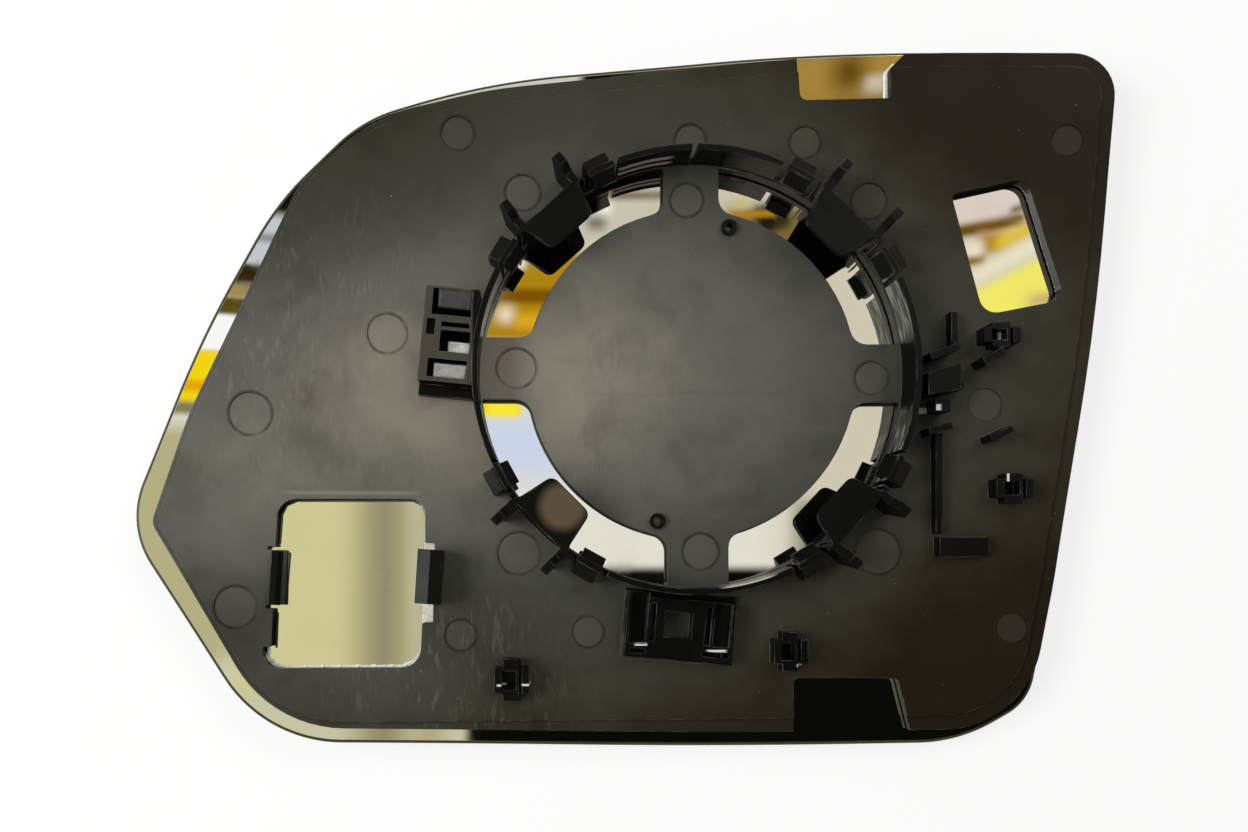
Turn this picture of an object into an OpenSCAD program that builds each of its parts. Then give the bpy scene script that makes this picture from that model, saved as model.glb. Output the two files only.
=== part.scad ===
// Door mirror glass of a passenger car, with the moulded carrier plate on its rear side.
// A domed mirror glass, a thin bonding film and one black moulding that carries the actuator ring.
// Origin: centre of the actuator seat, on the rear face of the plate. +Z points to the actuator
// (away from the reflecting side), +X along the long way of the glass, +Y up. Units: mm.

/* [Outline] */
// length of the glass, from the tip to the straight end
glass_length = 193.4; // [180:0.1:215]
// height of the glass
glass_height = 138.9; // [130:0.1:155]

/* [Glass] */
// radius of the convex reflecting face
front_radius = 1200; // [800:10:2000]
// thickness of the glass
glass_thickness = 2.0; // [1.6:0.1:3]
// thickness of the bonding film between the glass and the plate
film_thickness = 0.5; // [0.2:0.1:1.2]
// clearance left on each face of the film
bond_gap = 0.06; // [0:0.01:0.2]
// distance from the edge of the plate to the edge of the film
film_setback = 1.2; // [0.4:0.1:4]
// how much wider the film is cut out round each opening of the plate
film_relief = 0.5; // [0.2:0.1:2]

/* [Carrier plate] */
// thickness of the moulded plate
plate_thickness = 2.0; // [1.6:0.1:3]
// width of the lowered border along the top, the right and the bottom of the plate
border_width = 2.8; // [1.5:0.1:6]
// width of the lowered border at the tip
tip_border = 1.0; // [0.5:0.1:4]
// how far the border lies below the rear face
border_drop = 0.6; // [0.2:0.05:1.2]
// depth of the round ejector marks
mark_depth = 0.14; // [0.05:0.01:0.4]

/* [Actuator ring] */
// outer radius of the ring wall
ring_radius = 43.3; // [30:0.1:60]
// thickness of the ring wall
ring_wall = 1.2; // [0.8:0.1:2.5]
// height of the ring wall above the seat
ring_height = 8.3; // [5:0.1:14]
// width of the arc openings between the round seat and the ring
window_width = 9.05; // [4:0.05:16]
// where the middle of the seat lies from the middle of the ring
seat_shift = [0.2, 0.45]; // [-2:0.05:2]
// radius in the corners between the seat and the spokes
spoke_fillet = 3.4; // [1:0.1:5]
// ledge left between the ring wall and the arc openings
ring_ledge = 0.25; // [0.1:0.05:1]
// distance of the two pin holes from the edge of the seat
pin_setback = 2.7; // [2:0.1:6]
// radius of the pin holes
pin_radius = 0.9; // [0.5:0.05:1.4]
// width of the slots in the ring wall
slot_width = 1.1; // [0.6:0.1:2]

/* [Corner clips] */
// width of a clip flap at its inner end
flap_inner = 9.8; // [6:0.1:16]
// width of a clip flap at the ring wall
flap_outer = 14.2; // [8:0.1:20]
// thickness of a flap
flap_thickness = 1.5; // [1:0.1:2.5]
// thickness of the upright ears beside a flap
ear_thickness = 1.7; // [1:0.1:3]
// how far the ears reach out from the ring wall
ear_reach = 5.1; // [3:0.1:9]
// how far the tips of the ears stand above the flap
ear_tip = 2.2; // [0:0.1:4]

/* [Snap hooks] */
// angle of a snap hook from the middle of its clip
hook_angle = 16.3; // [12:0.1:20]
// width of a hook along the ring
hook_width = 4.7; // [3:0.1:7]
// how far the lug behind a hook stands out from the ring wall
lug_depth = 2.5; // [1:0.1:5]
// how far the nose of a hook stands in from the ring wall
nose_depth = 1.9; // [1:0.1:4]

/* [Spindle sockets] */
// middle of the left socket: distance from the ring wall, height above the middle of the ring
left_offset = [4.3, 7.6]; // [-20:0.1:20]
// length, width and height of the left socket
left_size = [10.4, 18.3, 7.5]; // [3:0.1:30]
// middle of the bottom socket: place along the glass, distance from the ring wall
bottom_offset = [-3.3, 6.1]; // [-20:0.1:20]
// length, width and height of the bottom socket
bottom_size = [21.2, 11.9, 4.6]; // [3:0.1:30]
// sides of the square cell in the bottom socket
cell_size = [5.4, 5.0]; // [3:0.1:8]

/* [Window catches] */
// length of the catches beside the lower left window
catch_length = 10.6; // [4:0.1:20]
// height of the right catch above the plate
catch_height = 5.4; // [3:0.1:9]
// height of the left catch above the plate
left_catch_height = 1.8; // [1:0.1:6]

/* [View] */
// sub-part to build

/* [Hidden] */

film_rear = plate_thickness + bond_gap;
film_front = film_rear + film_thickness;
glass_rear = film_front + bond_gap;
glass_front = glass_rear + glass_thickness;
dome_radius = front_radius - glass_front;
ring_inner = ring_radius - ring_wall;
seat_radius = ring_inner - ring_ledge - window_width;
dome_fn = 240;
deep = 12;
chord_error = 0.03;

// The outlines and places below are drawn for a glass of this length and height.
drawn_size = [193.4, 138.9];
stretch = [glass_length / drawn_size.x, glass_height / drawn_size.y];

// Corner clips as [angle of the middle, reach of the flap in from the ring wall].
clips = [[45.7, 8.4], [131.8, 7.5], [225.0, 9.0], [317.2, 7.4]];

// Arc openings round the seat as [x of the upright spoke side, y of the level spoke side].
arc_windows = [[5.5, 6.4], [-5.5, 7.8], [-4.7, -4.6], [7.5, -5.2]];

// Outlines are lists of [x, y, corner radius], clockwise from the left tip.
glass_corners = stretched([
    [-112.0, -29.8, 18], [-97.5, 8.1, 200], [-82.7, 34.9, 60], [-65.7, 51.6, 30], [-40.2, 59.6, 150],
    [30.3, 65.9, 425], [84.1, 63.6, 9], [80.6, 11.1, 425], [72.0, -43.6, 90], [67.4, -64.9, 11],
    [53.4, -73.0, 31], [6.0, -74.1, 1500], [-84.6, -72.7, 28]
]);
plate_corners = stretched([
    [-106.1, -29.3, 3], [-99.1, -7.7, 80], [-77.7, 37.8, 14], [-63.0, 51.1, 34], [-40.1, 56.9, 90],
    [30.2, 64.5, 425], [83.4, 62.8, 8.5], [80.1, 11.0, 425], [71.5, -41.0, 90], [65.5, -69.8, 20],
    [6.0, -71.0, 1500], [-82.6, -69.5, 25]
]);
// Corners further left than this belong to the tip, where the border is narrower.
tip_side = -60;
// Windows keep their own size. Each moves with the glass by its middle or by its place on the edge.
window_middle = [-68, -41];
side_middle = [62, 25];
plug_window = moved(window_middle, [
    [-81.7, -24.5, 3.8], [-52.9, -24.5, 3.0], [-52.9, -33.2, 0.3], [-51.0, -33.2, 0.3],
    [-51.3, -49.0, 0.3], [-53.4, -49.0, 0.3],
    [-53.8, -57.9, 4.0], [-84.4, -57.9, 3.4], [-84.4, -53.6, 0.4], [-82.8, -53.6, 0.3],
    [-82.5, -46.1, 0.2], [-83.9, -46.1, 0.2], [-83.9, -45.4, 0.2], [-80.5, -45.4, 0.2],
    [-80.3, -34.6, 0.2], [-83.7, -34.6, 0.2], [-83.7, -33.9, 0.2], [-82.1, -33.9, 0.2]
]);
// Opening of the film at the plug window. Film shows in the notch beside the right catch.
film_window = moved(window_middle,
    [[-83.4, -24.6, 3.8], [-53.6, -24.6, 3.0], [-54.4, -57.0, 4.2], [-84.4, -57.0, 3.4]]);
side_window = moved(side_middle,
    [[51.5, 35.9, 1.0], [66.0, 38.9, 3.2], [73.6, 14.9, 2.6], [58.0, 12.0, 3.4]]);
top_notch = moved([30, 65],
    [[20.2, 72, 0.4], [21.6, 54.7, 1.5], [39.4, 54.9, 0.8], [39.3, 60.9, 0.3], [50.7, 72, 0.4]]);
bottom_notch = moved([30, -73],
    [[20.1, -80, 0.4], [20.2, -60.0, 1.2], [40.7, -60.0, 1.2], [45.3, -80, 0.4]]);
// Backs of the two catches beside the plug window, in the middle of their length.
catch_places = [[-82.7, -40.0], [-49.3, -40.0]];
// Cross-shaped clip sockets as [x, y, width, length].
cross_clips = [
    [60.1, 7.4, 7.1, 4.8], [62.4, -22.6, 7.2, 5.8], [-35.6, -60.0, 6.8, 8.2], [18.9, -54.5, 6.6, 7.6]
];
// Ejector marks as [x, y, radius].
marks = [
    [-46.5, 48.0, 3.4], [-0.2, 47.0, 3.2], [22.6, 46.5, 3.2], [-87.2, -7.7, 4.3], [-60.5, 8.4, 4.0],
    [-34.8, 1.7, 4.0], [-0.9, 35.2, 3.4], [1.9, -34.9, 3.7], [36.0, -0.3, 3.4], [-33.6, 36.5, 3.6],
    [-34.4, -35.3, 4.3], [37.1, -35.0, 4.6], [35.4, 34.9, 3.6], [-89.8, -45.8, 4.2],
    [-45.9, -51.5, 3.2], [-20.6, -50.9, 3.2], [58.3, -5.8, 3.4], [63.0, -50.0, 3.2], [73.7, 46.0, 3.2]
];

// Small holes through the seat, each with a low rim, at these angles round the seat.
pin_holes = [for (a = [75.9, 256.8]) seat_shift + (seat_radius - pin_setback) * [cos(a), sin(a)]];

// Where a drawn place lies on a glass of the set length and height.
function at(p) = [p.x * stretch.x, p.y * stretch.y];

// Corners that spread with the glass, and corners that keep their distances and move with place p.
function stretched(c) = [for (q = c) [q.x * stretch.x, q.y * stretch.y, q.z]];
function moved(p, c) = let (m = at(p) - p) [for (q = c) [q.x + m.x, q.y + m.y, q.z]];

function unit(v) = v / norm(v);
function xy(p) = [p.x, p.y];
function wrap(c, i) = c[(i + len(c)) % len(c)];
function arc_steps(r, turn) = max(1, ceil(turn / (2 * acos(max(0, 1 - chord_error / r)))));

// Points of the arc that rounds corner b between its neighbours a and c.
function fillet(a, b, c, r) =
    let (
        u = unit(a - b), w = unit(c - b),
        half = acos(u * w) / 2,
        m = b + unit(u + w) * r / sin(half),
        start = b + u * r / tan(half) - m,
        side = cross(u, w) > 0 ? -1 : 1,
        turn = 180 - 2 * half,
        n = arc_steps(r, turn)
    )
    [for (i = [0:n]) let (t = atan2(start.y, start.x) + side * turn * i / n) m + r * [cos(t), sin(t)]];

// Outline with every corner rounded by its own radius.
function rounded(c) = [
    for (i = [0:len(c) - 1]) each fillet(xy(wrap(c, i - 1)), xy(c[i]), xy(wrap(c, i + 1)), c[i].z)
];

// The same clockwise corners moved inwards by d (outwards where d is negative). Left of the tip's
// side they move by tip instead.
function inset(c, d, tip) = [
    for (i = [0:len(c) - 1])
        let (
            u = unit(xy(c[i]) - xy(wrap(c, i - 1))),
            w = unit(xy(wrap(c, i + 1)) - xy(c[i])),
            nu = [u.y, -u.x], nw = [w.y, -w.x],
            m = (nu + nw) / (1 + nu * nw),
            e = is_undef(tip) || c[i].x > tip_side ? d : tip,
            p = xy(c[i]) + m * e
        )
        [p.x, p.y, max(0.15, c[i].z - e * (cross(u, w) < 0 ? 1 : -1))]
];

// Points of an arc round c from angle a to angle b, without its ends where skip is 1.
function arc(c, r, a, b, skip = 0) =
    let (n = arc_steps(r, abs(b - a)))
    [for (i = [skip:n - skip]) let (t = a + (b - a) * i / n) c + r * [cos(t), sin(t)]];

// Outline of the arc opening between the two spoke sides x = w.x and y = w.y, the seat and the
// ring, with rounded inner corners. It is made wider all round by d.
function arc_window(w, d) =
    let (
        q = [sign(w.x), sign(w.y)], c = [q.x * seat_shift.x, q.y * seat_shift.y],
        u = abs(w.x) - d, v = abs(w.y) - d, f = spoke_fillet + d,
        r_in = seat_radius - d, r_out = ring_inner - ring_ledge + d,
        high = [u + f, c.y + sqrt(pow(r_in + f, 2) - pow(u + f - c.x, 2))],
        low = [c.x + sqrt(pow(r_in + f, 2) - pow(v + f - c.y, 2)), v + f],
        a_high = atan2(high.y - c.y, high.x - c.x), a_low = atan2(low.y - c.y, low.x - c.x)
    )
    [
        for (p = concat(
            arc([0, 0], r_out, asin(v / r_out), acos(u / r_out)),
            arc(high, f, 180, 180 + a_high),
            arc(c, r_in, a_high, a_low, 1),
            arc(low, f, 180 + a_low, 270)
        )) [p.x * q.x, p.y * q.y]
    ];

// Height of the domed rear face at a place on the plate.
function dome(x, y) = dome_radius - sqrt(dome_radius * dome_radius - x * x - y * y);

// Domed layer between two depths below the rear face of the plate.
module layer(top, bottom) {
    translate([0, 0, dome_radius])
        rotate([90, 0, 0])
            difference() {
                sphere(r = dome_radius + bottom, $fn = dome_fn);
                sphere(r = dome_radius + top, $fn = dome_fn);
            }
}

// Upright column through the whole part, over a flat shape.
module column() {
    translate([0, 0, -deep]) linear_extrude(3 * deep) children();
}

// Puts what stands on the plate at place p, at the height of the rear face there.
module on_plate(p) {
    translate([p.x, p.y, dome(p.x, p.y)]) children();
}

// Piece that stands on the rear face at (x, y), h high, turned by a.
module stand(x, y, h, a = 0) {
    translate([x, y, dome(x, y) - plate_thickness / 2])
        rotate([0, 0, a]) linear_extrude(h + plate_thickness / 2) children();
}

// All openings, made wider all round by d, with the outline of the one at the plug window.
module openings(d, window) {
    for (w = arc_windows) polygon(arc_window(w, d));
    polygon(rounded(inset(window, -d)));
    polygon(rounded(inset(side_window, -d)));
    polygon(rounded(inset(top_notch, -d)));
    polygon(rounded(inset(bottom_notch, -d)));
}

module mirror_glass() {
    color([0.75, 0.78, 0.8])
        intersection() {
            column() polygon(rounded(glass_corners));
            layer(glass_rear, glass_front);
        }
}

module adhesive_film() {
    color([0.9, 0.9, 0.86])
        intersection() {
            column() difference() {
                polygon(rounded(inset(plate_corners, film_setback)));
                openings(film_relief, film_window);
            }
            layer(film_rear, film_front);
        }
}

// Domed plate with its openings, lowered border and ejector marks.
module plate() {
    difference() {
        intersection() {
            column() difference() {
                polygon(rounded(plate_corners));
                openings(0, plug_window);
            }
            layer(0, plate_thickness);
        }
        intersection() {
            column() difference() {
                square(2 * glass_length, center = true);
                polygon(rounded(inset(plate_corners, border_width, tip_border)));
            }
            layer(-deep, border_drop);
        }
        intersection() {
            column() for (m = marks)
                translate(norm(xy(m)) < ring_radius ? xy(m) : at(m)) circle(r = m.z, $fn = 48);
            layer(-deep, mark_depth);
        }
    }
}

// Flat shape of a flap that reaches in by reach, for a clip whose middle lies along +X.
module flap_shape(reach) {
    r = ring_radius - reach;
    polygon(rounded([
        [ring_radius - 0.6, flap_outer / 2, 0.3], [ring_radius - 0.6, -flap_outer / 2, 0.3],
        [r, -flap_inner / 2, 1.6], [r, flap_inner / 2, 1.6]
    ]));
}

// Upright ear beside a flap: a plate that leans outwards to a raised tip.
module ear() {
    tip = ring_radius + ear_reach;
    rotate([90, 0, 0]) translate([0, 0, -ear_thickness / 2]) linear_extrude(ear_thickness)
        polygon([
            [ring_radius - 1.4, -0.2], [tip - 1.8, -0.2], [tip, ring_height + 1.2],
            [tip - 0.3, ring_height + ear_tip], [tip - 2.4, ring_height + ear_tip],
            [tip - 4.0, ring_height], [ring_radius - 1.4, ring_height]
        ]);
}

// Corner clip: straight upright wall, flap over the seat and two ears.
module clip(reach) {
    translate([ring_radius - 2.0, -flap_outer / 2 + 0.2, -0.2])
        cube([1.3, flap_outer - 0.4, ring_height - 0.4]);
    translate([0, 0, ring_height - flap_thickness]) linear_extrude(flap_thickness) flap_shape(reach);
    for (s = [-1, 1]) translate([0, s * (flap_outer / 2 - ear_thickness / 2 + 0.45), 0]) ear();
}

// Snap hook: lug behind the ring wall and a wedge-shaped nose in front of it.
module hook() {
    rotate([90, 0, 0]) translate([0, 0, -hook_width / 2]) linear_extrude(hook_width)
        polygon([
            [ring_inner + 0.1, -0.2], [ring_radius + lug_depth - 0.5, -0.2],
            [ring_radius + lug_depth, 2.5], [ring_radius + lug_depth, ring_height - 1.9],
            [ring_radius + 0.4, ring_height - 0.9], [ring_inner - 0.1, ring_height + 0.2],
            [ring_inner - nose_depth, ring_height - 2.2], [ring_inner - nose_depth, ring_height - 3.0],
            [ring_inner + 0.1, ring_height - 3.6]
        ]);
}

// Ring wall with the slots that free the clips and the hooks.
module ring() {
    difference() {
        translate([0, 0, -0.3]) cylinder(r = ring_radius, h = ring_height + 0.3, $fn = 180);
        translate([0, 0, -1]) cylinder(r = ring_inner, h = ring_height + 2, $fn = 180);
        for (q = clips, s = [-1, 1]) {
            rotate([0, 0, q[0] + s * (hook_angle - 4.4)]) wall_slot();
            rotate([0, 0, q[0] + s * (hook_angle + 4.4)]) wall_slot();
        }
        rotate([0, 0, 90.4]) wall_slot();
        for (q = clips) rotate([0, 0, q[0]])
            translate([ring_inner - 3, -flap_outer / 2 - 0.8, 1.3]) cube([6, flap_outer + 1.6, deep]);
    }
}

module wall_slot() {
    translate([ring_inner - 2, -slot_width / 2, 1.3]) cube([6, slot_width, deep]);
}

// Frame for the spindle end of the sideways drive, with three cells. A tongue stands in each cell, with
// a gap along its left and one long side.
module left_socket() {
    low = -left_size.y + 8.3;
    translate([-ring_radius - left_offset.x, left_offset.y, 0]) rotate([0, 0, -5.5]) {
        difference() {
            union() {
                translate([-left_size.x / 2, low, 0]) cube(left_size);
                translate([-left_size.x / 2 - 0.1, low - 2.2, 0]) cube([left_size.x + 0.2, 3, 3.4]);
            }
            translate([-3.7, 2.9, 2.2]) cube([7.6, 5.0, 8]);
            translate([-1.6, 0.7, 4.4]) cube([5.4, 0.9, 8]);
            translate([-1.6, -4.1, 2.2]) cube([5.8, 4.1, 8]);
            translate([-3.5, low + 0.9, 2.2]) cube([7.6, 3.5, 8]);
            translate([-4.4, -1.0, 6.4]) cube([1.6, 3.0, 3]);
        }
        tongue(-2.7, 4.4, 6.6, 3.5, 6.9, 0.4);
        tongue(-0.3, -4.2, 4.6, 2.6, 5.6, 0.3);
        tongue(-2.5, low + 0.8, 6.7, 3.0, 6.6, 0.2);
    }
}

// Tongue w wide and l long from its corner (x, y), h high, with a top that rises by r towards +Y.
module tongue(x, y, w, l, h, r) {
    translate([x, y, 0]) rotate([90, 0, 90]) linear_extrude(w)
        polygon([[0, 1], [l, 1], [l, h + r], [0, h]]);
}

// Frame for the spindle end of the up-and-down drive, with a square cell.
module bottom_socket() {
    edge = [-bottom_size.x / 2 + 0.7, -bottom_size.y / 2 - 0.95];
    translate([bottom_offset.x, -ring_radius - bottom_offset.y, 0]) rotate([0, 0, -5]) difference() {
        union() {
            translate(edge) cube(bottom_size);
            translate(edge) cube([4.4, bottom_size.y + 1, bottom_size.z]);
            translate(edge - [0.4, 0.4]) cube([bottom_size.x + 0.8, bottom_size.y + 1.8, 1.6]);
        }
        translate([-cell_size.x / 2 + 0.2, -cell_size.y / 2 + 0.1, 0.9]) cube([cell_size.x, cell_size.y, 8]);
        translate([-5.4, -3.4, 1.2]) cube([1.1, 7.4, 8]);
        translate([5.5, -3.4, 1.2]) cube([1.1, 7.4, 8]);
        translate([-9.3, -4.2, 2.6]) cube([3.4, 12, 8]);
        translate([-8.7, -6.0, 1.4]) cube([2.9, 0.9, 8]);
        translate([5.4, -5.6, 1.4]) cube([3.6, 1.0, 8]);
        translate([9.4, -5.6, 1.4]) cube([1.2, 0.9, 8]);
        translate([7.2, -3.6, 3.4]) cube([3.4, 12, 8]);
    }
}

// Cross-shaped clip socket with a square cell.
module cross_clip(w, l) {
    difference() {
        union() {
            stand(0, 0, 3.6) square([w, l * 0.62], center = true);
            stand(0, 0, 3.6) square([w * 0.52, l], center = true);
        }
        translate([-w * 0.30, -l * 0.22, 1.0]) cube([w * 0.42, l * 0.44, 6]);
        translate([w * 0.20, -l * 0.5 - 1, 2.4]) cube([w * 0.09, l + 2, 6]);
    }
}

// Small upright posts, ribs and blocks on the right-hand side of the ring.
module right_guides() {
    stand(51.3, 9.0, 2.6) square([1.3, 6.4], center = true);
    stand(47.8, 3.6, 6.5, 20) square([5.4, 1.4], center = true);
    stand(50.6, 4.6, 5.0, 20) square([1.6, 0.9], center = true);
    stand(48.1, -1.8, 7.2) polygon([[-3.6, -3.0], [-3.6, 1.2], [2.6, 3.0], [2.6, -2.0]]);
    stand(51.7, -2.4, 3.2) square([2.6, 1.2], center = true);
    stand(48.3, -6.5, 4.6) square([2.8, 2.4], center = true);
    stand(47.9, -11.0, 4.4, 16) square([4.6, 1.4], center = true);
    stand(48.3, -21.6, 2.4) square([1.3, 19.6], center = true);
    stand(52.9, -34.0, 2.8) square([9.6, 3.8], center = true);
    stand(57.7, 2.8, 5.6, 30) square([4.4, 1.6], center = true);
    stand(59.4, -12.1, 4.8, 24) square([4.6, 1.3], center = true);
}

// Catch beside the lower left window: an upright blade t thick and h high with a wedge nose that
// reaches n from its back, pointing to +X.
module window_catch(t, n, h) {
    rotate([90, 0, 0]) translate([0, 0, -catch_length / 2]) linear_extrude(catch_length)
        polygon([
            [0, -1], [t, -1], [t, 0.44 * h], [n, 0.63 * h], [n, 0.74 * h], [t + 0.2, h], [0, h]
        ]);
}

module carrier_plate() {
    color([0.13, 0.13, 0.12])
        difference() {
            union() {
                plate();
                ring();
                for (q = clips) rotate([0, 0, q[0]]) {
                    clip(q[1]);
                    for (s = [-1, 1]) rotate([0, 0, s * hook_angle]) hook();
                }
                for (p = pin_holes) stand(p.x, p.y, 0.7) circle(r = pin_radius + 0.7, $fn = 48);
                left_socket();
                bottom_socket();
                for (c = cross_clips) on_plate(at(c)) cross_clip(c[2], c[3]);
                right_guides();
                on_plate(catch_places[0] + at(window_middle) - window_middle)
                    rotate([0, 0, -3.7]) window_catch(1.1, 2.2, left_catch_height);
                on_plate(catch_places[1] + at(window_middle) - window_middle)
                    rotate([0, 0, -3.7]) mirror([1, 0, 0]) window_catch(2.1, 4.9, catch_height);
            }
            for (p = pin_holes)
                translate([p.x, p.y, -deep]) cylinder(r = pin_radius, h = 2 * deep, $fn = 32);
        }
}

mirror_glass();
adhesive_film();
carrier_plate();
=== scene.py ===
"""Looks of a car door mirror glass with its carrier plate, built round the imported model.

The glass lies on its reflecting face, as in the photograph, and the camera looks straight down at the
rear side of the plate. Every length is in metres in Blender; the tables below are in millimetres.
"""

import math
from functools import partialmethod

import bmesh
import bpy
import numpy as np
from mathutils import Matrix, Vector
from bpy.props import FloatProperty, FloatVectorProperty, PointerProperty


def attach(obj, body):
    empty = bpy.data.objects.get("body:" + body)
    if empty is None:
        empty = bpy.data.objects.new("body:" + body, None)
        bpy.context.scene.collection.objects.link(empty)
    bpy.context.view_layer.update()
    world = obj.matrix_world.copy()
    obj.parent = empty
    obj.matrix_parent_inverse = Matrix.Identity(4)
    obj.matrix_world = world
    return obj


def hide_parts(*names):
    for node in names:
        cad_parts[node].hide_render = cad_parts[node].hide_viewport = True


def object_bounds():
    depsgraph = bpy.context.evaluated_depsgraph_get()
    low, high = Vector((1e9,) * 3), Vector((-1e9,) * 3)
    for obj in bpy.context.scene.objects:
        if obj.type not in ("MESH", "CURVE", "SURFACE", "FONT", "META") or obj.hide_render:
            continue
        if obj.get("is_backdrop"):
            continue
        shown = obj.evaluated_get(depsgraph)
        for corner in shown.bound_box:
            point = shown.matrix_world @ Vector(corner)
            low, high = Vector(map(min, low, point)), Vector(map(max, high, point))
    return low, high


bl_info = {
    "name": "Door mirror glass",
    "version": (1, 0, 0),
    "blender": (4, 5, 0),
    "location": "3D View > Sidebar > Door mirror",
    "description": "Silvered glass, moulded carrier plate, adhesive and studio of a door mirror glass",
    "category": "Object",
}

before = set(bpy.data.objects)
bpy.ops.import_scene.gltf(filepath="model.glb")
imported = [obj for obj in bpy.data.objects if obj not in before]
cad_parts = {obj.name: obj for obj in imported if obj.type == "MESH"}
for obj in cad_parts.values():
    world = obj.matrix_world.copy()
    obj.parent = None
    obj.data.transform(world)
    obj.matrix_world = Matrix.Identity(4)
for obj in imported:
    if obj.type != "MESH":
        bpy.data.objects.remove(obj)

MM = 0.001
BODY = "root"

# Corners of the glass as x, y, corner radius in mm, clockwise from the left tip.
GLASS_CORNERS = (
    (-112.0, -29.8, 18), (-97.5, 8.1, 200), (-82.7, 34.9, 60), (-65.7, 51.6, 30), (-40.2, 59.6, 150),
    (30.3, 65.9, 425), (84.1, 63.6, 9), (80.6, 11.1, 425), (72.0, -43.6, 90), (67.4, -64.9, 11),
    (53.4, -73.0, 31), (6.0, -74.1, 1500), (-84.6, -72.7, 28),
)
GLASS_MIDDLE = (-14.0, -4.0)

# Ejector marks on the plate as x, y, radius in mm.
EJECTOR_MARKS = (
    (-46.5, 48.0, 3.4), (-0.2, 47.0, 3.2), (22.6, 46.5, 3.2), (-87.2, -7.7, 4.3), (-60.5, 8.4, 4.0),
    (-34.8, 1.7, 4.0), (-0.9, 35.2, 3.4), (1.9, -34.9, 3.7), (36.0, -0.3, 3.4), (-33.6, 36.5, 3.6),
    (-34.4, -35.3, 4.3), (37.1, -35.0, 4.6), (35.4, 34.9, 3.6), (-89.8, -45.8, 4.2),
    (-45.9, -51.5, 3.2), (-20.6, -50.9, 3.2), (58.3, -5.8, 3.4), (63.0, -50.0, 3.2), (73.7, 46.0, 3.2),
)

# Actuator ring: outer and inner radius and height of its wall in mm.
RING_RADIUS, RING_INNER, RING_HEIGHT = 43.3, 42.1, 8.3
# Corner clips as angle of the middle, reach of the flap in from the ring wall, in degrees and mm.
CLIPS = ((45.7, 8.4), (131.8, 7.5), (225.0, 9.0), (317.2, 7.4))
# Widths of a flap at its inner end and at the ring, and radius of its corners. Its lip starts so far in from
# the ring's outside and from the flap's side, and rounds the corners with this share of ease.
FLAP_INNER, FLAP_OUTER, FLAP_CORNER, LIP_START, LIP_INSET = 9.8, 14.2, 1.6, 2.2, 0.75
CORNER_EASE = 0.06

# Lower edge of the plug window, where adhesive shows, as x, y in mm from left to right.
WINDOW_SILL = ((-83.9, -53.2), (-83.8, -55.6), (-82.6, -57.2), (-80.6, -57.8), (-57.6, -57.8), (-55.0, -56.8))

# Middle of the left spindle socket as x, y in mm, its turn in degrees, and its three blocks as middle x,
# middle y, half width, half length, height of the top and rise of the top, in the socket's own frame.
SOCKET_MIDDLE, SOCKET_TURN = (-47.6, 7.6), -5.5
SOCKET_BLOCKS = (
    (0.6, 6.15, 3.1, 1.55, 6.9, 0.114), (2.0, -2.9, 2.1, 1.1, 5.6, 0.115), (0.85, -7.7, 3.15, 1.3, 6.6, 0.067),
)
# A pale face on such a block, coloured with a painted reflection: lift of its middle, sink of its edge, height
# of its waves, depth of its skirt.
FACE_LIFT, FACE_SINK, FACE_WAVE, FACE_SKIRT = 0.10, 0.07, 0.02, 0.25

# Where the painted sheen makes the plate lightest, in mm, and how that painted grey falls off from there:
# share of the reach, sRGB colour.
SHEEN_MIDDLE, SHEEN_REACH = (-40.0, 0.0), (137.0, 81.0)
SHEEN_STEPS = (
    (0.0, (130, 126, 115)), (0.14, (122, 118, 107)), (0.28, (94, 92, 84)), (0.40, (84, 83, 78)),
    (0.50, (70, 70, 64)), (0.62, (58, 58, 52)), (0.78, (50, 48, 38)), (0.88, (38, 34, 22)), (1.0, (26, 21, 9)),
)
# Places where that painted sheen is shifted, as middle, reach and shift of the share: less is lighter, more is
# painted shade.
SHADE_PATCHES = (
    ((-98.0, -26.0), (40.0, 30.0), -0.20), ((-78.0, 42.0), (62.0, 38.0), 0.20),
    ((-42.0, -50.0), (26.0, 24.0), 0.08), ((62.0, 50.0), (56.0, 36.0), 0.12),
    ((56.0, -52.0), (50.0, 30.0), 0.10), ((-70.0, -62.0), (46.0, 16.0), -0.20), ((52.0, 4.0), (20.0, 18.0), -0.06),
)

# Groups of flow marks on the plate: middle, reach in mm, turn of their streaks in degrees, strength.
FLOW_MARKS = (
    ((-74.0, 4.0), 42.0, -14, 0.14), ((-20.0, -4.0), 26.0, -52, 0.14), ((-50.0, -62.0), 36.0, 86, 0.12),
    ((-60.0, -16.0), 18.0, -40, 0.12),
)

# Painted highlights on faces that look up, as x, y, half width, half height in mm.
GLINTS = (
    (46.5, -6.9, 1.4, 0.6), (60.6, 7.4, 0.35, 1.0), (-10.4, -53.1, 1.2, 0.25), (4.4, -54.4, 1.9, 0.25),
    (-37.6, -61.0, 0.9, 0.22), (-32.9, -60.9, 0.9, 0.22), (61.0, -20.6, 0.25, 0.9), (20.9, -57.2, 0.9, 0.25),
)

# Knit line across the seat: its mean y, the size of its waves, and x where it fades in and out.
KNIT_Y, KNIT_WAVE, KNIT_START, KNIT_END = -3.4, 2.4, (-26, -12), (12, 26)
# Middle of the painted highlight on the lip above the plug window, and middle of the painted brownish
# reflection on the lower left flap.
LIP_MIDDLE, BROWN_REFLECTION_MIDDLE = (-67.5, -23.3), (-25.8, -26.4, 8.0)
# Left and right side and top of the painted sheen on the socket at the left, each as where its tone starts and
# is full.
SOCKET_LEFT, SOCKET_RIGHT, SOCKET_TOP = (-54.6, -54.0), (-43.4, -42.8), (5.6, 6.2)
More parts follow.
